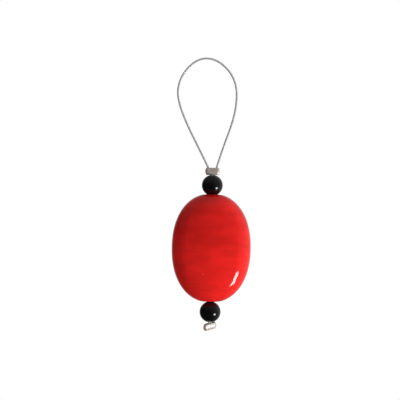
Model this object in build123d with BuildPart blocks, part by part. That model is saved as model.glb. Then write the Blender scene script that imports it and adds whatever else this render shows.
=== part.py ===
from build123d import *
import os
from math import atan, cos, pi, radians, sin, sqrt, tan

# A hanging stitch marker: a springy loop of nylon-coated steel wire that hangs on a knitting
# needle, with three glass beads threaded on its two legs between two squashed crimps.
# Lengths are in millimetres. The origin is the inside of the loop's crown, where the needle
# bears, +Z is up, and the beads face -Y. The beads' axis is vertical.

# Beading wire
wire_d = 0.38            # over the nylon
jacket_wall = 0.04       # over the outer strands
jacket_clearance = 0.005  # between the nylon and the strands' outline
leg_gap = 0.03           # between the two legs in the bores
bore_bend_r = 1.9        # where a leg turns at a bore's mouth
wire_tail = 0.06         # wire standing out of the lower crimp

# Loop, as the springy wire holds it, from the upper crimp's top to the crown's centreline
loop_h = 20.79
loop_w = 11.21           # between the centrelines at the widest place

# Black beads
black_bead_d = 4.0
black_bore_d = 1.0
black_mouth = 0.12       # chamfer at the bore's mouths
bend_depth = 0.19        # a leg turns this far inside the bore's mouth

# Red bead: a wound bead pressed between two flats
red_w = 15.05
red_h = 20.76            # to the outline's tips, which the end lands cut off
red_outline_power = 2.2  # 2 would be an ellipse
red_edge_r = 3.8         # round edge, as seen along the bore
red_crown_rise = 0.3     # how far each face swells past the round edge
red_land_w = 3.0         # flat land round each end of the bore
red_land_t = 2.8
red_bore_d = 1.3
red_upper_mouth = 0.5    # chamfer, in which the upper black bead nests
red_lower_mouth = 0.12
red_station_shares = [0, 0.2, 0.4, 0.57, 0.72, 0.84, 0.92, 0.97, 1]

# Crimps: thick round rings, squashed flat on the wire
crimp_ring_d = 2.1       # before squashing
crimp_ring_bore_d = 1.44
crimp_wall = 0.28        # over the wire, halfway along
crimp_l = 1.3
crimp_grip = 0.005       # left between the crimp's walls and the wire
crimp_side_gap = 0.06    # left beside each leg at the upper crimp's top
lower_crimp_turn = 33.0  # degrees about the beads' axis
lower_crimp_lean = 24.0  # degrees, top end forwards
crimp_round = [          # along the crimp from each end, and how far its outside draws in there
    (0, 0.17),
    (0.1, 0.07),
    (0.3, 0),
]

# Left between pieces that touch and turn
seat_clearance = 0.05

# The loop's corners, left leg first, as shares of its width and height. Width shares count
# from the beads' axis, height shares from the upper crimp's top.
loop_corner_shares = [
    (-0.611, 0.563),
    (-0.611, 0.805),
    (-0.305, 1),
    (0.055, 1),
    (0.389, 0.808),
    (0.389, 0.513),
    (0.152, 0.152),
]
crown_share = (loop_corner_shares[2][0] + loop_corner_shares[3][0]) / 2
fillet_share = 0.45      # of the shorter run, taken up by each bend

# Sizes that follow
black_r = black_bead_d / 2
black_bore_r = black_bore_d / 2
black_mouth_r = black_bore_r + black_mouth
black_mouth_z = sqrt(black_r**2 - black_mouth_r**2)
leg_x = (wire_d + leg_gap) / 2
cable_d = wire_d - 2 * jacket_wall - 2 * jacket_clearance
red_half_w = red_w / 2
red_half_h = red_h / 2
red_half_t = red_edge_r + red_crown_rise
crimp_bore_t = wire_d + 2 * crimp_grip
crimp_t = crimp_bore_t + 2 * crimp_wall
crimp_end_t = crimp_t - 2 * crimp_round[0][1]


def superellipse(size, along, power):
    """Half size of a superellipse at a share of its other half size."""
    return size * (1 - abs(along) ** power) ** (1 / power)


def squashed_width(round_d, thickness):
    """Width of a round once squashed to a thickness: its outline keeps its length."""
    return thickness + pi * (round_d - thickness) / 2


red_land_z = superellipse(red_half_h, red_land_w / 2 / red_half_w, red_outline_power)
crimp_w = squashed_width(crimp_ring_d, crimp_t)
crimp_bore_w = squashed_width(crimp_ring_bore_d, crimp_bore_t)
leg_spread = crimp_bore_w - wire_d - 2 * crimp_side_gap


def black_to_red(mouth):
    """Between the middles of a black bead and the red one, on whose chamfered mouth it sits."""
    return red_land_z + sqrt((black_r + seat_clearance) ** 2 - (red_bore_d / 2 + mouth) ** 2)


# Heights. The upper crimp's top lies the loop's height under the crown's centreline.
axis_x = -crown_share * loop_w
crimp_top_z = wire_d / 2 - loop_h
upper_black_z = crimp_top_z - crimp_l - seat_clearance - black_r
red_z = upper_black_z - black_to_red(red_upper_mouth)
lower_black_z = red_z - black_to_red(red_lower_mouth)
upper_bend_z = upper_black_z + black_mouth_z - bend_depth
lower_bend_z = lower_black_z - black_mouth_z + bend_depth

# The lower crimp leans about the point where the legs leave the lower bead's bore.
lean = radians(lower_crimp_lean)
turn = radians(lower_crimp_turn)
crimp_down = Vector(0, sin(lean), -cos(lean))
crimp_across = Vector(cos(turn), sin(turn) * cos(lean), sin(turn) * sin(lean))
lower_bend = Vector(axis_x, 0, lower_bend_z)
lower_crimp_drop = (
    (lower_bend_z - lower_black_z + black_r + seat_clearance) / cos(lean)
    + crimp_end_t / 2 * tan(lean)
)
lower_crimp_top = lower_bend + crimp_down * lower_crimp_drop

upper_crimp_foot = Plane(origin=(axis_x, 0, crimp_top_z - crimp_l))
lower_crimp_foot = Plane(
    origin=lower_crimp_top + crimp_down * crimp_l, x_dir=crimp_across, z_dir=-crimp_down
)

# The wire's route: up the left leg from the lower crimp, round the loop, down the right leg.
wire_end_drop = lower_crimp_drop + crimp_l + wire_tail


def leg(side):
    """Corners of one leg from its cut end up to the upper crimp's top."""
    bend = lower_bend + crimp_across * (side * leg_x)
    return [
        bend + crimp_down * wire_end_drop,
        bend,
        Vector(axis_x + side * leg_x, 0, upper_bend_z),
        Vector(axis_x + side * leg_spread / 2, 0, crimp_top_z),
    ]


loop_corners = [
    Vector(axis_x + across * loop_w, 0, crimp_top_z + up * loop_h)
    for across, up in loop_corner_shares
]
route = leg(-1) + loop_corners + leg(1)[::-1]
bore_bends = [1, 2, len(route) - 3, len(route) - 2]


def bend_radius(i):
    """Radius of the bend at a corner of the route, as large as its shorter run allows."""
    before, after = route[i] - route[i - 1], route[i + 1] - route[i]
    half_turn = radians(before.get_angle(after)) / 2
    largest = fillet_share * min(before.length, after.length) / tan(half_turn)
    return min(bore_bend_r, largest) if i in bore_bends else largest


bend_radii = [bend_radius(i) for i in range(1, len(route) - 1)]
print("wire bend radii, mm:", [round(r, 2) for r in bend_radii])

os.makedirs("parts", exist_ok=True)

# Steel cable: the outline of six strands laid round a seventh, from cut end to cut end.
strands = 6
with BuildPart() as steel_cable:
    with BuildLine() as cable_route:
        FilletPolyline(*route, radius=bend_radii)
    with BuildSketch(Plane(origin=route[0], z_dir=-crimp_down)) as cable_section:
        RegularPolygon(cable_d / 2, strands)
    sweep()
steel_cable.part.label = "steel_cable"
export_step(steel_cable.part, "parts/steel_cable.step")
wire_l = cable_route.wires()[0].length
print("wire length, mm:", round(wire_l, 2))
print("cable volume, and its section times its length:",
      round(steel_cable.part.volume, 4), round(cable_section.sketch.area * wire_l, 4))

# Nylon jacket: a thin round coat over the whole cable.
with BuildPart() as nylon_jacket:
    with BuildLine():
        FilletPolyline(*route, radius=bend_radii)
    with BuildSketch(Plane(origin=route[0], z_dir=-crimp_down)):
        Circle(wire_d / 2)
        RegularPolygon(wire_d / 2 - jacket_wall, strands, mode=Mode.SUBTRACT)
    sweep()
nylon_jacket.part.label = "nylon_jacket"
export_step(nylon_jacket.part, "parts/nylon_jacket.step")

# Crimps: a thick ring squashed round the two legs, with its ends rounded over.
crimp_levels = crimp_round + [(crimp_l - along, draw) for along, draw in crimp_round[::-1]]
for name, foot in [("upper_crimp", upper_crimp_foot), ("lower_crimp", lower_crimp_foot)]:
    with BuildPart() as crimp:
        for level, draw in crimp_levels:
            with BuildSketch(foot.offset(level)):
                SlotOverall(crimp_w - 2 * draw, crimp_t - 2 * draw)
        loft(ruled=True)
        with BuildSketch(foot):
            SlotOverall(crimp_bore_w, crimp_bore_t)
        extrude(amount=crimp_l, mode=Mode.SUBTRACT)
    crimp.part.label = name
    export_step(crimp.part, f"parts/{name}.step")

# Black beads: round glass, drilled through, with chamfered mouths.
for name, centre_z in [("upper_black_bead", upper_black_z), ("lower_black_bead", lower_black_z)]:
    with BuildPart() as bead:
        with BuildSketch(Plane.XZ.shift_origin((axis_x, 0, centre_z))):
            rim_top = (black_mouth_r, black_mouth_z)
            rim_bottom = (black_mouth_r, -black_mouth_z)
            bore_top = (black_bore_r, black_mouth_z - black_mouth)
            bore_bottom = (black_bore_r, black_mouth - black_mouth_z)
            with BuildLine():
                Polyline(rim_bottom, bore_bottom, bore_top, rim_top)
                ThreePointArc(rim_top, (black_r, 0), rim_bottom)
            make_face()
        revolve(axis=Axis((axis_x, 0, centre_z), (0, 0, 1)))
    bead.part.label = name
    export_step(bead.part, f"parts/{name}.step")


# Red bead: crowned sections with round edges, stacked along the bore between two flat lands.
red_t_reach = red_land_z + red_edge_r - sqrt(red_edge_r**2 - (red_land_t / 2) ** 2)
red_crown_tilt = 2 * atan(red_crown_rise / (red_t_reach - red_edge_r))
red_crown_reach = red_t_reach - red_edge_r + red_edge_r * sin(red_crown_tilt)
red_crown_r = red_crown_reach / sin(red_crown_tilt)


def red_section_half_t(z):
    """Half thickness at a height from the bead's middle: a long crown arc, then the round end."""
    if abs(z) < red_crown_reach:
        return red_half_t - red_crown_r + sqrt(red_crown_r**2 - z**2)
    return sqrt(red_edge_r**2 - (abs(z) - red_t_reach + red_edge_r) ** 2)


def red_section(z):
    """Draws the section at a height from the bead's middle, as four tangent arcs."""
    half_w = superellipse(red_half_w, z / red_half_h, red_outline_power)
    half_t = red_section_half_t(z)
    edge_r = half_t * red_edge_r / red_half_t
    tilt = 2 * atan((half_t - edge_r) / (half_w - edge_r))
    x, y = half_w - edge_r * (1 - sin(tilt)), edge_r * cos(tilt)
    ThreePointArc((x, -y), (half_w, 0), (x, y))
    ThreePointArc((x, y), (0, half_t), (-x, y))
    ThreePointArc((-x, y), (-half_w, 0), (-x, -y))
    ThreePointArc((-x, -y), (0, -half_t), (x, -y))


upper_stations = [red_land_z * share for share in red_station_shares]
red_stations = [-z for z in upper_stations[:0:-1]] + upper_stations
with BuildPart() as red_glass_bead:
    for z in red_stations:
        with BuildSketch(Plane(origin=(axis_x, 0, red_z + z))):
            with BuildLine():
                red_section(z)
            make_face()
    loft()
    with Locations((axis_x, 0, red_z)):
        Cylinder(red_bore_d / 2, red_h, mode=Mode.SUBTRACT)
    mouths = red_glass_bead.edges(Select.LAST).filter_by(GeomType.CIRCLE).sort_by(Axis.Z)
    chamfer(mouths[0], length=red_lower_mouth)
    chamfer(mouths[-1], length=red_upper_mouth)
red_glass_bead.part.label = "red_glass_bead"
export_step(red_glass_bead.part, "parts/red_glass_bead.step")
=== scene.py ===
from math import atan, atan2, cos, exp, pi, radians, sin, sqrt

import bmesh
import bpy
from mathutils import Matrix, Vector


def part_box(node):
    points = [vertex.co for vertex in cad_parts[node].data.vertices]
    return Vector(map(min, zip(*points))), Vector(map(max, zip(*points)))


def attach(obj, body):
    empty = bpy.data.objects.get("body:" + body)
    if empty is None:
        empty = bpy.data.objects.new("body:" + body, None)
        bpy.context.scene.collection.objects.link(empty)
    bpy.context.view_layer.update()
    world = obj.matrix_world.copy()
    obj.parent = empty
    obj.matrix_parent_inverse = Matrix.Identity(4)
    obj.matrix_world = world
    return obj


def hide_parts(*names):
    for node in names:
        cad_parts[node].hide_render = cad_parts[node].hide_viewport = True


# A hanging stitch marker: a springy loop of nylon-coated steel wire, and under it two round
# black glass beads with a large pressed red glass bead between them, held by two squashed
# crimps. Sizes are in millimetres and the scene is in metres.

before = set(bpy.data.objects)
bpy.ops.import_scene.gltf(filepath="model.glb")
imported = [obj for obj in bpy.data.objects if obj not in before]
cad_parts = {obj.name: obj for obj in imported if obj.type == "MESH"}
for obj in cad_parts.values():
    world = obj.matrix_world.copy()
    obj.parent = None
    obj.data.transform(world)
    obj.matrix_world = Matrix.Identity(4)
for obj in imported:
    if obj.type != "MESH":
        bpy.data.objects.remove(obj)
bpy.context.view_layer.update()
MM = 0.001
weld_distance = 0.0001 * MM


def middle(node):
    """Middle of a node's box, in millimetres."""
    low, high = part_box(node)
    return (low + high) / 2 / MM


# Beading wire
wire_d = 0.38
jacket_wall = 0.04
cable_d = 0.29
leg_gap = 0.03
wire_tail = 0.06
strand_count = 6         # laid round a seventh
strand_lay = 3.2         # length of one turn of the strands
strand_sides = 8
coat_sides = 24
wire_step = 0.22         # between the rings of a strand or of the coat
wire_smoothness = 24     # pieces of the wire's line between two control points
lower_bend_run = 0.43    # of the line's bends, each way, at the lower and upper bead's bores
upper_bend_run = 0.62

# Loop
loop_h = 20.79
loop_w = 11.21
loop_corner_shares = [
    (-0.611, 0.563),
    (-0.611, 0.805),
    (-0.305, 1),
    (0.055, 1),
    (0.389, 0.808),
    (0.389, 0.513),
    (0.152, 0.152),
]

# Black beads
black_r = 2.0
black_bore_r = 0.5
black_mouth_r = 0.1
black_bend_rise = 1.72   # of the legs' bends over and under the beads' middles
black_ball_rings = 72
black_mouth_rings = 9
black_around = 112
bore_rings = 12          # of the black and the red beads' bores

# Red bead
red_half_w = 7.525
red_half_h = 10.38
red_outline_power = 2.2
red_edge_r = 3.65
red_crown_rise = 0.45
red_land_half_w = 1.5
red_land_half_t = 1.4
red_bore_r = 0.65
red_upper_mouth = 0.5    # widening of the bore's upper mouth, in which a black bead nests
red_lower_mouth = 0.15
red_mouth_soft = 0.12    # rounding between the land and a mouth
red_land_soft = 0.14     # rounding of the land's rim
red_land_left = 0.02     # least width of land round a mouth
red_rings = 170
red_rim_rings = 5
red_cone_rings = 6
red_around = 192

# Crimps
crimp_ring_d = 2.1       # before squashing
crimp_ring_bore_d = 1.44
crimp_wall = 0.28
crimp_grip = 0.005
crimp_side_gap = 0.06
crimp_l = 1.3
crimp_draw = 0.30        # by which the outside draws in at each end
crimp_draw_power = 2.0
crimp_edge_share = 0.97  # of half the thickness, in the radius of the round edges
crimp_rim_r = 0.05
crimp_face_shares = (0.33, 0.67)    # of the way across the flat end, where its rings lie
crimp_sunk_shares = (0.5, 1)        # of the rim's radius, where the mouth's rings lie
crimp_bore_share = 0.8   # of the bore's length that its rings take up
crimp_outer_rings = 31
crimp_rim_rings = 5
crimp_bore_rings = 9
crimp_around = 96
crimp_shut_w = 0.92      # of a mouth pressed shut on the two legs side by side
crimp_reach = 0.09       # of the upper crimp's foot, down to the bead's mouth
lower_crimp_turn = radians(33)
lower_crimp_lean = radians(24)


def squashed_width(round_d, thickness):
    """Width of a round once squashed to a thickness: its outline keeps its length."""
    return thickness + pi * (round_d - thickness) / 2


def superellipse(size, along, power):
    """Half size of a superellipse at a share of its other half size."""
    return size * (1 - abs(along) ** power) ** (1 / power)


red_land_z = superellipse(red_half_h, red_land_half_w / red_half_w, red_outline_power)
crimp_bore_t = wire_d + 2 * crimp_grip
crimp_bore_w = squashed_width(crimp_ring_bore_d, crimp_bore_t)
crimp_t = crimp_bore_t + 2 * crimp_wall
crimp_w = squashed_width(crimp_ring_d, crimp_t)
leg_spread = crimp_bore_w - wire_d - 2 * crimp_side_gap


def add_object(name, data):
    """Puts a new object in the scene."""
    thing = bpy.data.objects.new(name, data)
    bpy.context.scene.collection.objects.link(thing)
    return thing


class Field:
    """An output of a node tree, on which plain arithmetic adds the tree's math nodes."""

    def __init__(self, tree, socket):
        self.tree = tree
        self.socket = socket

    def math(self, operation, *others):
        return maths(self.tree, operation, self, *others)

    def __add__(self, other):
        return self.math("ADD", other)

    def __sub__(self, other):
        return self.math("SUBTRACT", other)

    def __rsub__(self, other):
        return maths(self.tree, "SUBTRACT", other, self)

    def __mul__(self, other):
        return self.math("MULTIPLY", other)

    def __truediv__(self, other):
        return self.math("DIVIDE", other)

    __radd__ = __add__
    __rmul__ = __mul__


def put(tree, socket, value):
    """Links a field to a socket, or sets a plain value on it."""
    if isinstance(value, Field):
        tree.links.new(value.socket, socket)
    else:
        socket.default_value = value


def maths(tree, operation, *values):
    node = tree.nodes.new("ShaderNodeMath")
    node.operation = operation
    for socket, value in zip(node.inputs, values):
        put(tree, socket, value)
    return Field(tree, node.outputs[0])


def add_node(tree, kind, values=None, **settings):
    """Adds a node with its settings, and its inputs by name or number."""
    node = tree.nodes.new(kind)
    for name, value in settings.items():
        setattr(node, name, value)
    for key, value in (values or {}).items():
        put(tree, node.inputs[key], value)
    return node


def output(node, key=0):
    return Field(node.id_data, node.outputs[key])


def either(condition, if_true, if_false):
    """The first value where the condition is 1, and the second where it is 0."""
    return if_false + condition * (if_true - if_false)


# Geometry trees

def new_tree(name, inputs):
    """A tree with a geometry input and output, and named inputs of its own."""
    tree = bpy.data.node_groups.new(name, "GeometryNodeTree")
    tree.interface.new_socket("Geometry", in_out="INPUT", socket_type="NodeSocketGeometry")
    for label, kind in inputs.items():
        tree.interface.new_socket(label, in_out="INPUT", socket_type=kind)
    tree.interface.new_socket("Geometry", in_out="OUTPUT", socket_type="NodeSocketGeometry")
    source = tree.nodes.new("NodeGroupInput")
    return tree, {socket.name: Field(tree, socket) for socket in source.outputs if socket.name}


def end_tree(tree, geometry, material):
    smooth = add_node(tree, "GeometryNodeSetShadeSmooth", {"Geometry": geometry})
    real = add_node(tree, "GeometryNodeRealizeInstances", {"Geometry": output(smooth)})
    painted = add_node(
        tree, "GeometryNodeSetMaterial", {"Geometry": output(real), "Material": material}
    )
    put(tree, tree.nodes.new("NodeGroupOutput").inputs[0], output(painted))


def grow(name, source, tree, values):
    """Runs a tree on an object, and returns a plain mesh object of the result."""
    modifier = source.modifiers.new(tree.name, "NODES")
    modifier.node_group = tree
    for item in tree.interface.items_tree:
        if item.in_out == "INPUT" and item.name in values:
            modifier[item.identifier] = values[item.name]
    bpy.context.view_layer.update()
    evaluated = source.evaluated_get(bpy.context.evaluated_depsgraph_get())
    mesh = bpy.data.meshes.new_from_object(evaluated)
    bpy.data.objects.remove(source)
    mesh.name = name
    turn_outwards(mesh)
    return add_object(name, mesh)


def turn_outwards(mesh):
    shape = bmesh.new()
    shape.from_mesh(mesh)
    bmesh.ops.recalc_face_normals(shape, faces=shape.faces)
    shape.to_mesh(mesh)
    shape.free()


def ring_tree():
    """Joins a stack of rings into a closed skin. Each ring is a pressed round: two round edges
    joined by two shallow crown arcs, all tangent. A ring as thick as it is wide is a circle."""
    tree, given = new_tree("skin of rings", {
        "Points around": "NodeSocketInt",
        "Edge share": "NodeSocketFloat",
        "Weld distance": "NodeSocketFloat",
        "Material": "NodeSocketMaterial",
    })
    rings = output(add_node(tree, "GeometryNodeAttributeDomainSize",
                            {"Geometry": given["Geometry"]}), "Point Count")
    grid = output(add_node(tree, "GeometryNodeMeshGrid", {
        "Size X": 1.0, "Size Y": 1.0,
        "Vertices X": given["Points around"] + 1, "Vertices Y": rings,
    }), "Mesh")
    ring = output(add_node(tree, "GeometryNodeInputIndex")).math("MODULO", rings)
    place = add_node(tree, "ShaderNodeSeparateXYZ",
                     {0: output(add_node(tree, "GeometryNodeInputPosition"))})
    share = output(place, "X") + 0.5

    def of_ring(value, kind):
        """A value of the stack's points, read at this vertex's ring."""
        node = add_node(tree, "GeometryNodeSampleIndex", data_type=kind, domain="POINT")
        put(tree, node.inputs["Geometry"], given["Geometry"])
        put(tree, node.inputs["Value"], value)
        put(tree, node.inputs["Index"], ring)
        return output(node)

    def named(attribute):
        return output(add_node(tree, "GeometryNodeInputNamedAttribute",
                               {"Name": attribute}, data_type="FLOAT"))

    centre = of_ring(output(add_node(tree, "GeometryNodeInputPosition")), "FLOAT_VECTOR")
    half_w = of_ring(named("half width"), "FLOAT")
    half_t = of_ring(named("half thickness"), "FLOAT")

    edge_r = half_t * given["Edge share"]
    tilt = 2 * ((half_t - edge_r) / (half_w - edge_r)).math("ARCTANGENT")
    sin_tilt = tilt.math("SINE")
    crown_r = (half_w - edge_r + edge_r * sin_tilt) / sin_tilt
    edge_turn = pi / 2 - tilt
    edge_length = edge_r * edge_turn
    edge_part = edge_length / (edge_length + crown_r * tilt)

    # Each ring is worked out over its first quarter, and mirrored into the other three.
    quarters = 4
    along = (share * quarters).math("PINGPONG", 1.0)
    on_edge = along.math("LESS_THAN", edge_part)
    turn = either(
        on_edge,
        edge_turn * along / edge_part,
        edge_turn + tilt * (along - edge_part) / (1 - edge_part),
    )
    cos_turn = turn.math("COSINE")
    sin_turn = turn.math("SINE")
    x = either(on_edge, half_w - edge_r + edge_r * cos_turn, crown_r * cos_turn)
    y = either(on_edge, edge_r * sin_turn, half_t - crown_r + crown_r * sin_turn)
    from_half = (share - 0.5).math("ABSOLUTE")
    side_x = from_half.math("GREATER_THAN", 1 / quarters) * 2 - 1
    side_y = share.math("LESS_THAN", 0.5) * 2 - 1
    offset = output(add_node(tree, "ShaderNodeCombineXYZ", {0: x * side_x, 1: y * side_y}))
    position = add_node(tree, "ShaderNodeVectorMath", {0: centre, 1: offset}, operation="ADD")
    placed = add_node(tree, "GeometryNodeSetPosition",
                      {"Geometry": grid, "Position": output(position)})
    welded = add_node(tree, "GeometryNodeMergeByDistance",
                      {"Geometry": output(placed), "Distance": given["Weld distance"]})
    end_tree(tree, output(welded), given["Material"])
    return tree


def strand_tree():
    """Lays strands in a helix round the wire's line, with one more straight along it."""
    tree, given = new_tree("laid strands", {
        "Strands": "NodeSocketInt",
        "Strand radius": "NodeSocketFloat",
        "Lay": "NodeSocketFloat",
        "Step": "NodeSocketFloat",
        "Sides": "NodeSocketInt",
        "Material": "NodeSocketMaterial",
    })
    line = output(add_node(tree, "GeometryNodeResampleCurve",
                           {"Curve": given["Geometry"], "Length": given["Step"]}, mode="LENGTH"))
    copies = add_node(tree, "GeometryNodeDuplicateElements",
                      {"Geometry": line, "Amount": given["Strands"]}, domain="SPLINE")
    length = output(add_node(tree, "GeometryNodeSplineParameter"), "Length")
    turn = 2 * pi * (output(copies, "Duplicate Index") / given["Strands"] + length / given["Lay"])
    normal = output(add_node(tree, "GeometryNodeInputNormal"))
    tangent = output(add_node(tree, "GeometryNodeInputTangent"))
    across = output(add_node(tree, "ShaderNodeVectorMath", {0: tangent, 1: normal},
                             operation="CROSS_PRODUCT"))

    def along(direction, amount):
        node = add_node(tree, "ShaderNodeVectorMath", {0: direction}, operation="SCALE")
        put(tree, node.inputs["Scale"], amount)
        return output(node)

    radius = given["Strand radius"]
    offset = add_node(tree, "ShaderNodeVectorMath", {
        0: along(normal, 2 * radius * turn.math("COSINE")),
        1: along(across, 2 * radius * turn.math("SINE")),
    }, operation="ADD")
    laid = add_node(tree, "GeometryNodeSetPosition",
                    {"Geometry": output(copies), "Offset": output(offset)})
    both = tree.nodes.new("GeometryNodeJoinGeometry")
    tree.links.new(laid.outputs[0], both.inputs[0])
    tree.links.new(line.socket, both.inputs[0])
    section = output(add_node(tree, "GeometryNodeCurvePrimitiveCircle",
                              {"Resolution": given["Sides"], "Radius": radius}))
    tubes = add_node(tree, "GeometryNodeCurveToMesh",
                     {"Curve": output(both), "Profile Curve": section, "Fill Caps": True})
    end_tree(tree, output(tubes), given["Material"])
    return tree


def coat_tree():
    """A round coat along the wire's line, open at both ends."""
    tree, given = new_tree("wire coat", {
        "Radius": "NodeSocketFloat",
        "Step": "NodeSocketFloat",
        "Sides": "NodeSocketInt",
        "Material": "NodeSocketMaterial",
    })
    line = output(add_node(tree, "GeometryNodeResampleCurve",
                           {"Curve": given["Geometry"], "Length": given["Step"]}, mode="LENGTH"))
    section = output(add_node(tree, "GeometryNodeCurvePrimitiveCircle",
                              {"Resolution": given["Sides"], "Radius": given["Radius"]}))
    tube = add_node(tree, "GeometryNodeCurveToMesh", {"Curve": line, "Profile Curve": section})
    end_tree(tree, output(tube), given["Material"])
    return tree


# Materials
red_deep = (0.55, 0.0100, 0.0080, 1)
red_bright = (0.90, 0.0190, 0.0150, 1)
red_speck = (0.9, 0.25, 0.2, 1)
red_painted_shade = 0.12        # painted shade: by which the tone falls at the bead's top and rises at its foot
red_tone_span = (0.34, 0.66)
speck_cells = 0.22       # a millimetre
speck_r = 0.028          # in cells
speck_rarity = 0.55      # share of the cells that hold none
speck_strength = 0.7
black_deep = (0.0025, 0.0027, 0.0028, 1)
black_soft = (0.0045, 0.0042, 0.0045, 1)
plate_clean = (0.82, 0.72, 0.66, 1)
plate_worn = (0.68, 0.57, 0.50, 1)
plate_wear_span = (0.4, 0.75)
steel_dull = (0.72, 0.72, 0.71, 1)
steel_bright = (0.84, 0.84, 0.83, 1)
nylon_dull = (0.46, 0.46, 0.45, 1)
nylon_pale = (0.52, 0.52, 0.51, 1)
noise_span = (0.3, 0.7)  # in which most of any noise lies


def new_material(name):
    """A material with a principled shader, whose constants are set on its own sockets."""
    material = bpy.data.materials.new(name)
    material.use_nodes = True
    tree = material.node_tree
    return material, tree, tree.nodes["Principled BSDF"]


def object_place(tree, scale, turn=(0.0, 0.0, 0.0), shift=(0.0, 0.0, 0.0)):
    """Object coordinates in millimetres, turned and shifted, then scaled."""
    where = add_node(tree, "ShaderNodeTexCoord")
    mapping = add_node(tree, "ShaderNodeMapping", {
        "Vector": output(where, "Object"),
        "Scale": [s / MM for s in scale],
        "Rotation": turn,
        "Location": shift,
    })
    return output(mapping)


def grain(tree, per_mm, detail, roughness=0.5, turn=(0.0, 0.0, 0.0), shift=(0.0, 0.0, 0.0)):
    """Noise with so many waves a millimetre along X, Y and Z."""
    return output(add_node(tree, "ShaderNodeTexNoise", {
        "Vector": object_place(tree, per_mm, turn, shift),
        "Scale": 1.0,
        "Detail": detail,
        "Roughness": roughness,
    }), "Fac")


def ranged(tree, value, span, to=(0, 1)):
    """A value's span stretched to another, and held at its ends."""
    node = add_node(tree, "ShaderNodeMapRange", {
        0: value, 1: span[0], 2: span[1], 3: to[0], 4: to[1],
    })
    return output(node)


def mixed(tree, amount, first, second):
    """A blend from the first colour to the second."""
    node = add_node(tree, "ShaderNodeMix", {"Factor": amount}, data_type="RGBA")
    for key, value in (("A", first), ("B", second)):
        socket = next(s for s in node.inputs if s.name == key and s.type == "RGBA")
        put(tree, socket, value)
    return Field(tree, next(s for s in node.outputs if s.type == "RGBA"))


def bumped(tree, shader, height, strength, distance):
    bump = add_node(tree, "ShaderNodeBump",
                    {"Height": height, "Strength": strength, "Distance": distance * MM})
    put(tree, shader.inputs["Normal"], output(bump, "Normal"))


def red_glass_material():
    """Opaque red glass: soft clouds, faint slanting lines, a few pale specks, high polish, and
    painted shade that darkens its top and lightens its foot.
    """
    material, tree, shader = new_material("red glass")
    clouds = grain(tree, (0.10, 0.15, 0.22), detail=3, shift=(3, 1, 7))
    blotches = grain(tree, (0.22, 0.3, 0.5), detail=4, shift=(1, 5, 2))
    threads = grain(tree, (0.12, 0.5, 2.4), detail=2, turn=(0, radians(-9), 0))
    heights = add_node(tree, "ShaderNodeSeparateXYZ", {0: object_place(tree, (1, 1, 1))})
    # painted shade: the glass is darker at its top and lighter at its foot, as if lit from below
    painted_shading = ranged(tree, output(heights, "Z"),
                    span=(red_middle.z + red_half_h, red_middle.z - red_half_h),
                    to=(-red_painted_shade, red_painted_shade))
    tone = clouds * 0.5 + blotches * 0.37 + threads * 0.13 + painted_shading
    colour = mixed(tree, ranged(tree, tone, red_tone_span), red_deep, red_bright)
    cells = add_node(tree, "ShaderNodeTexVoronoi",
                     {"Vector": object_place(tree, (speck_cells,) * 3), "Scale": 1.0})
    speck = output(cells, "Distance").math("LESS_THAN", speck_r)
    cell_pick = add_node(tree, "ShaderNodeSeparateColor", {0: output(cells, "Color")})
    speck = speck * output(cell_pick, 0).math("GREATER_THAN", speck_rarity)
    put(tree, shader.inputs["Base Color"],
        mixed(tree, speck * speck_strength, colour, red_speck))
    smudge = grain(tree, (0.6, 0.6, 0.6), detail=4)
    put(tree, shader.inputs["Roughness"], ranged(tree, smudge, noise_span, to=(0.05, 0.10)))
    shader.inputs["IOR"].default_value = 1.52
    shader.inputs["Specular IOR Level"].default_value = 0.43
    ripple = grain(tree, (0.25, 0.4, 0.5), detail=1)
    bumped(tree, shader, ripple, strength=0.2, distance=0.02)
    return material


def black_glass_material():
    """Polished black glass with the faintest ripple."""
    material, tree, shader = new_material("black glass")
    clouds = grain(tree, (0.5, 0.5, 0.5), detail=3)
    put(tree, shader.inputs["Base Color"], mixed(tree, clouds, black_deep, black_soft))
    put(tree, shader.inputs["Roughness"], ranged(tree, clouds, noise_span, to=(0.08, 0.13)))
    shader.inputs["IOR"].default_value = 1.5
    ripple = grain(tree, (0.7, 0.7, 0.7), detail=1)
    bumped(tree, shader, ripple, strength=0.2, distance=0.01)
    return material


def crimp_metal_material():
    """Warm silver plate with a satin face, lightly worn, with fine lines along the crimp."""
    material, tree, shader = new_material("crimp metal")
    wear = grain(tree, (1.4, 1.4, 1.0), detail=6, roughness=0.6)
    lines = grain(tree, (9, 9, 1.2), detail=2)
    put(tree, shader.inputs["Base Color"],
        mixed(tree, ranged(tree, wear, plate_wear_span), plate_clean, plate_worn))
    shader.inputs["Metallic"].default_value = 0.6
    put(tree, shader.inputs["Roughness"], ranged(tree, wear, noise_span, to=(0.38, 0.50)))
    bumped(tree, shader, lines * 0.4 + wear * 0.6, strength=0.08, distance=0.006)
    return material


def strand_material():
    """Bright drawn steel, seen through the nylon."""
    material, tree, shader = new_material("steel strand")
    lines = grain(tree, (14, 14, 14), detail=2)
    put(tree, shader.inputs["Base Color"], mixed(tree, lines, steel_dull, steel_bright))
    shader.inputs["Metallic"].default_value = 1.0
    put(tree, shader.inputs["Roughness"], ranged(tree, lines, noise_span, to=(0.45, 0.55)))
    return material


def nylon_material():
    """Clear nylon, milky enough for the strands to show only faintly through it."""
    material, tree, shader = new_material("clear nylon")
    clouds = grain(tree, (1.2, 1.2, 1.2), detail=3)
    put(tree, shader.inputs["Base Color"], mixed(tree, clouds, nylon_dull, nylon_pale))
    put(tree, shader.inputs["Roughness"], ranged(tree, clouds, noise_span, to=(0.15, 0.25)))
    shader.inputs["IOR"].default_value = 1.53
    shader.inputs["Alpha"].default_value = 0.85
    return material


# Shapes

rings_tree = ring_tree()


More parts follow.
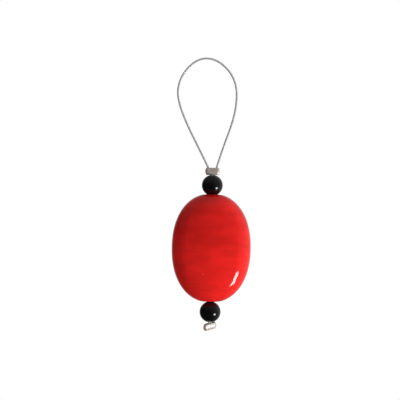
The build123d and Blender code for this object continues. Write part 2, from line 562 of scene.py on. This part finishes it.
def ringed(name, rings, axis_place, around, edge_share, material):
    """A closed skin over rings of (height, half width, half thickness), the last one joined
    to the first."""
    mesh = bpy.data.meshes.new(name + " rings")
    closed = rings + rings[:1]
    mesh.from_pydata([(axis_place + Vector((0, 0, z))) * MM for z, _, _ in closed],
                     [(i, i + 1) for i in range(len(closed) - 1)], [])
    for column, attribute in ((1, "half width"), (2, "half thickness")):
        data = mesh.attributes.new(attribute, "FLOAT", "POINT").data
        data.foreach_set("value", [ring[column] * MM for ring in closed])
    return grow(name, add_object(name + " rings", mesh), rings_tree, {
        "Points around": around,
        "Edge share": edge_share,
        "Weld distance": weld_distance,
        "Material": material,
    })


def spread(low, high, count):
    """Evenly spaced values from low to high."""
    return [low + (high - low) * i / (count - 1) for i in range(count)]


def black_bead_rings():
    """A sphere whose bore has rounded mouths, tangent to both."""
    centre_r = black_bore_r + black_mouth_r
    centre_z = sqrt((black_r - black_mouth_r) ** 2 - centre_r**2)
    lean = atan2(centre_z, centre_r)
    ball = [(black_r * sin(a), black_r * cos(a)) for a in spread(-lean, lean, black_ball_rings)]
    upper = [(centre_z + black_mouth_r * sin(a), centre_r + black_mouth_r * cos(a))
             for a in spread(lean, pi, black_mouth_rings)[1:]]
    bore = [(z, black_bore_r) for z in spread(centre_z, -centre_z, bore_rings)[1:-1]]
    lower = [(-z, r) for z, r in reversed(upper)]
    return [(z, r, r) for z, r in ball + upper + bore + lower]


red_t_reach = red_land_z + red_edge_r - sqrt(red_edge_r**2 - red_land_half_t**2)
red_crown_tilt = 2 * atan(red_crown_rise / (red_t_reach - red_edge_r))
red_crown_reach = red_t_reach - red_edge_r + red_edge_r * sin(red_crown_tilt)
red_crown_r = red_crown_reach / sin(red_crown_tilt)
red_half_t = red_edge_r + red_crown_rise


def red_ring(z):
    """The red bead's ring at a height, before its land cuts the ends off."""
    half_w = superellipse(red_half_w, z / red_half_h, red_outline_power)
    if abs(z) < red_crown_reach:
        half_t = red_half_t - red_crown_r + sqrt(red_crown_r**2 - z**2)
    else:
        half_t = sqrt(red_edge_r**2 - (abs(z) - red_t_reach + red_edge_r) ** 2)
    return half_w, half_t


def red_mouth(mouth):
    """Rings from the land, over a soft rim, down a cone into the bore, as (depth, radius)."""
    rim_r = red_bore_r + mouth + red_mouth_soft
    rim = [(red_mouth_soft * (1 - sin(a)), rim_r - red_mouth_soft * cos(a))
           for a in spread(pi / 2, pi / 4, red_rim_rings)]
    rim_depth, cone_r = rim[-1]
    cone = [(rim_depth + cone_r - r, r) for r in spread(cone_r, red_bore_r, red_cone_rings)[1:]]
    return rim + cone


def red_bead_rings():
    """Crowned rings up the bead, closed by a flat land with a soft rim round each mouth."""
    soft_from = red_land_z - red_land_soft
    outer = []
    for turn in spread(-pi / 2, pi / 2, red_rings)[1:-1]:
        z = red_half_h * sin(turn)
        half_w, half_t = red_ring(z)
        mouth = red_upper_mouth if z > 0 else red_lower_mouth
        if min(half_w, half_t) < red_bore_r + mouth + red_mouth_soft + red_land_left:
            continue
        if abs(z) > soft_from:
            flat = red_land_z - red_land_soft * exp((soft_from - abs(z)) / red_land_soft)
            z = flat if z > 0 else -flat
        outer.append((z, half_w, half_t))
    upper = [(outer[-1][0] - depth, r) for depth, r in red_mouth(red_upper_mouth)]
    lower = [(outer[0][0] + depth, r) for depth, r in reversed(red_mouth(red_lower_mouth))]
    bore = [(z, red_bore_r) for z in spread(upper[-1][0], lower[0][0], bore_rings)[1:-1]]
    return outer + [(z, r, r) for z, r in upper + bore + lower]


def crimp_rings(top_mouth_w, foot_mouth_w, reach):
    """A squashed ring's rings: up its swollen outside, over the rim to the top mouth, down
    through the bore to the foot's mouth, which is pressed on the legs, and back. The foot
    reaches a little further down where a bead's mouth leaves room."""
    half_l = crimp_l / 2

    def ring(z, depth):
        draw = crimp_draw * (1 - superellipse(1, z / half_l, crimp_draw_power)) + depth
        return z, crimp_w / 2 - draw, crimp_t / 2 - draw

    def end(mouth_w):
        """From the outside's edge round the rim and over the flat end into a mouth."""
        rim = []
        for a in spread(0, pi / 2, crimp_rim_rings)[1:]:
            _, w, t = ring(rim_z, crimp_rim_r * (1 - cos(a)))
            rim.append((rim_z + crimp_rim_r * sin(a), w, t))
        _, w, t = rim[-1]
        mouth = [(half_l, w + (mouth_w / 2 - w) * share, t + (crimp_bore_t / 2 - t) * share)
                 for share in crimp_face_shares]
        sunk = [(half_l - crimp_rim_r * share, mouth_w / 2, crimp_bore_t / 2)
                for share in crimp_sunk_shares]
        return rim + mouth + sunk

    rim_z = half_l - crimp_rim_r
    outside = [ring(rim_z * sin(a), 0) for a in spread(-pi / 2, pi / 2, crimp_outer_rings)]
    upper = end(top_mouth_w)
    lower = [(-z, w, t) for z, w, t in reversed(end(foot_mouth_w))]
    bore = [(half_l * share, (top_mouth_w + (foot_mouth_w - top_mouth_w) * (1 - share) / 2) / 2,
             crimp_bore_t / 2)
            for share in spread(crimp_bore_share, -crimp_bore_share, crimp_bore_rings)]
    rings = outside + upper + bore + lower
    return [(z - reach * (0.5 - z / crimp_l), w, t) for z, w, t in rings]


# Places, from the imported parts
upper_black = middle("upper_black_bead")
red_middle = middle("red_glass_bead")
lower_black = middle("lower_black_bead")
upper_crimp = middle("upper_crimp")
lower_crimp = middle("lower_crimp")
crimp_down = Vector((0, sin(lower_crimp_lean), -cos(lower_crimp_lean)))
crimp_across = Vector((
    cos(lower_crimp_turn),
    sin(lower_crimp_turn) * cos(lower_crimp_lean),
    sin(lower_crimp_turn) * sin(lower_crimp_lean),
))
axis_x = upper_black.x
crimp_top_z = upper_crimp.z + crimp_l / 2
upper_bend_z = upper_black.z + black_bend_rise
foot_share = 1 - (crimp_l + crimp_reach) / (crimp_top_z - upper_bend_z)
upper_foot_spread = (wire_d + leg_gap) * (1 - foot_share) + leg_spread * foot_share
upper_foot_w = upper_foot_spread + wire_d + crimp_side_gap


def wire_route():
    """Control points of the wire's line, in millimetres, from one cut end to the other."""
    leg_x = (wire_d + leg_gap) / 2
    lower_bend = Vector((axis_x, 0, lower_black.z - black_bend_rise))

    def leg(side):
        end = lower_crimp + crimp_down * (crimp_l / 2 + wire_tail) + crimp_across * side * leg_x
        low = lower_bend + crimp_across * side * leg_x
        high = Vector((axis_x + side * leg_x, 0, upper_black.z + black_bend_rise))
        top = Vector((axis_x + side * leg_spread / 2, 0, crimp_top_z))
        up = (high - low).normalized()
        out = (top - high).normalized()
        return [end, low + crimp_down * lower_bend_run, low, low + up * lower_bend_run,
                high - up * upper_bend_run, high, high + out * upper_bend_run, top]

    loop = [Vector((axis_x + across * loop_w, 0, crimp_top_z + up * loop_h))
            for across, up in loop_corner_shares]
    return leg(-1) + loop + leg(1)[::-1]


def wire_line(name):
    """A smooth curve through the wire's route, as an object."""
    curve = bpy.data.curves.new(name, "CURVE")
    curve.dimensions = "3D"
    curve.resolution_u = wire_smoothness
    points = wire_route()
    spline = curve.splines.new("NURBS")
    spline.points.add(len(points) - 1)
    for point, place in zip(spline.points, points):
        point.co = (*(place * MM), 1)
    spline.order_u = 3
    spline.use_endpoint_u = True
    return add_object(name, curve)


def finish_piece(piece, node, body):
    """Puts a finished piece under the body it moves with, and hides the solid it replaces."""
    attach(piece, body)
    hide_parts(node)


# Wire
strands = grow("steel_strands", wire_line("strand line"), strand_tree(), {
    "Strands": strand_count,
    "Strand radius": cable_d / 6 * MM,    # three strands side by side are the cable's width
    "Lay": strand_lay * MM,
    "Step": wire_step * MM,
    "Sides": strand_sides,
    "Material": strand_material(),
})
coat = grow("nylon_coat", wire_line("coat line"), coat_tree(), {
    "Radius": wire_d / 2 * MM,
    "Step": wire_step * MM,
    "Sides": coat_sides,
    "Material": nylon_material(),
})
wall = coat.modifiers.new("wall", "SOLIDIFY")
wall.thickness = jacket_wall * MM
wall.offset = -1
finish_piece(strands, "steel_cable", "wire_and_crimps")
finish_piece(coat, "nylon_jacket", "wire_and_crimps")

# Crimps
crimp_metal = crimp_metal_material()
upper_ring = ringed("upper_crimp_ring", crimp_rings(crimp_bore_w, upper_foot_w, crimp_reach),
                    upper_crimp, crimp_around, crimp_edge_share, crimp_metal)
lower_ring = ringed("lower_crimp_ring", crimp_rings(crimp_shut_w, crimp_shut_w, 0),
                    Vector(), crimp_around, crimp_edge_share, crimp_metal)
crimp_turn = Matrix((crimp_across, crimp_across.cross(crimp_down), -crimp_down)).transposed()
lower_ring.data.transform(Matrix.Translation(lower_crimp * MM) @ crimp_turn.to_4x4())
finish_piece(upper_ring, "upper_crimp", "wire_and_crimps")
finish_piece(lower_ring, "lower_crimp", "wire_and_crimps")

# Beads
black_glass = black_glass_material()
for name, place, node in (
    ("upper_black_glass", upper_black, "upper_black_bead"),
    ("lower_black_glass", lower_black, "lower_black_bead"),
):
    bead = ringed(name, black_bead_rings(), place, black_around, 1.0, black_glass)
    finish_piece(bead, node, node)
red_bead = ringed("pressed_red_glass", red_bead_rings(), red_middle, red_around,
                  red_edge_r / red_half_t, red_glass_material())
finish_piece(red_bead, "red_glass_bead", "red_bead")

# Floor and surroundings, white for the camera and brighter to the right in reflections
floor_z = -0.255
floor_half = 1.2
floor_grey = (0.8, 0.8, 0.8, 1)
floor_roughness = 0.9
floor_glow_share = 0.6       # as the camera sees it: the rest is its lit paint, with shadows
floor_glow_strength = 1.5    # which makes both together white
room_dark = 0.03             # how bright the room is in reflections, and what each side adds
room_from_above = 0.22
room_from_right = 0.2
room_from_right_behind = 0.4
room_from_behind = 0.45
ambient = 0.315              # light of the room on matt surfaces, level and then from above
ambient_from_above = 0.2


def room_brightness(tree, direction):
    """How bright the room is in a direction, as polished surfaces show it."""
    parts = add_node(tree, "ShaderNodeSeparateXYZ", {0: direction})
    right_side = ranged(tree, output(parts, "X"), span=(0.2, 1.0))
    behind = ranged(tree, output(parts, "Y"), span=(-0.3, 0.7))
    straight_behind = ranged(tree, output(parts, "Y"), span=(0.65, 1.0))
    above = ranged(tree, output(parts, "Z"), span=(0.2, 1.0))
    return (
        room_dark + above * room_from_above
        + right_side * (room_from_right + behind * room_from_right_behind)
        + straight_behind * room_from_behind
    )


def reflected(path):
    """1 for a ray that a polished or clear surface sends on, and 0 for others."""
    return output(path, "Is Glossy Ray").math("MAXIMUM", output(path, "Is Transmission Ray"))


floor_mesh = bpy.data.meshes.new("floor")
corners = [(-floor_half, -floor_half), (floor_half, -floor_half),
           (floor_half, floor_half), (-floor_half, floor_half)]
floor_mesh.from_pydata([(x, y, floor_z) for x, y in corners], [], [(0, 1, 2, 3)])
floor = add_object("floor", floor_mesh)
floor_material, floor_tree, paint = new_material("pale floor")
paint.inputs["Base Color"].default_value = floor_grey
paint.inputs["Roughness"].default_value = floor_roughness
floor_place = output(add_node(floor_tree, "ShaderNodeTexCoord"), "Object")
floor_direction = output(add_node(floor_tree, "ShaderNodeVectorMath", {0: floor_place},
                                  operation="NORMALIZE"))
floor_path = add_node(floor_tree, "ShaderNodeLightPath")
floor_camera = output(floor_path, "Is Camera Ray")
floor_glow = add_node(floor_tree, "ShaderNodeEmission", {
    "Strength": either(floor_camera, floor_glow_strength,
                       room_brightness(floor_tree, floor_direction)),
})
floor_seen = either(floor_camera, floor_glow_share, reflected(floor_path))
floor_shade = add_node(floor_tree, "ShaderNodeMixShader", {0: floor_seen})
floor_tree.links.new(paint.outputs[0], floor_shade.inputs[1])
floor_tree.links.new(floor_glow.outputs[0], floor_shade.inputs[2])
floor_tree.links.new(floor_shade.outputs[0], floor_tree.nodes["Material Output"].inputs[0])
floor_mesh.materials.append(floor_material)

world = bpy.data.worlds.new("studio")
bpy.context.scene.world = world
world.use_nodes = True
sky = world.node_tree
sky_direction = output(add_node(sky, "ShaderNodeTexCoord"), "Generated")
sky_path = add_node(sky, "ShaderNodeLightPath")
sky_parts = add_node(sky, "ShaderNodeSeparateXYZ", {0: sky_direction})
room_light = output(sky_parts, "Z") * ambient_from_above + ambient
unreflected = either(output(sky_path, "Is Camera Ray"), 1.0, room_light)
put(sky, sky.nodes["Background"].inputs["Strength"],
    either(reflected(sky_path), room_brightness(sky, sky_direction), unreflected))
sky.nodes["Background"].inputs["Color"].default_value = (1, 1, 1, 1)


light_distance = 0.4


def soft_light(name, swing, dip, width, height, power):
    """A rectangular lamp that faces the red bead, swung round from the camera's side towards
    the right, and dipped under level as the camera sees it."""
    lamp = bpy.data.lights.new(name, "AREA")
    lamp.shape = "RECTANGLE"
    lamp.size = width
    lamp.size_y = height
    lamp.energy = power
    holder = add_object(name, lamp)
    towards = Vector((sin(swing) * cos(dip), -cos(swing), -sin(swing) * sin(dip)))
    holder.location = red_middle * MM + towards * light_distance
    holder.rotation_mode = "QUATERNION"
    holder.rotation_quaternion = towards.to_track_quat("Z", "Y")
    holder.visible_camera = False
    return holder


soft_light("softbox", swing=radians(63), dip=radians(42), width=0.14, height=0.26, power=2.15)
side_light = soft_light("side light", swing=radians(80), dip=radians(-10), width=0.3, height=0.3,
                        power=1.0)
side_light.visible_glossy = False

# Camera, shifted and rolled as in the photograph
photo_side = 400
pixels_per_mm = 5.25
top_bead_pixel = (212.29, 185.36)
roll = radians(1.01)
camera_distance = 0.5
sensor_width = 36
camera_data = bpy.data.cameras.new("camera")
camera_data.sensor_width = sensor_width
camera_data.lens = sensor_width * camera_distance / (photo_side / pixels_per_mm * MM)
camera = add_object("camera", camera_data)
bpy.context.scene.camera = camera
right = Vector((cos(roll), 0, sin(roll)))
up = Vector((-sin(roll), 0, cos(roll)))
from_middle = (
    right * ((top_bead_pixel[0] - photo_side / 2) / pixels_per_mm)
    + up * ((photo_side / 2 - top_bead_pixel[1]) / pixels_per_mm)
)
camera.location = (upper_black - from_middle) * MM - Vector((0, camera_distance, 0))
camera.rotation_mode = "QUATERNION"
camera.rotation_quaternion = Matrix((right, up, right.cross(up))).transposed().to_quaternion()
bpy.context.scene.view_settings.view_transform = "Standard"
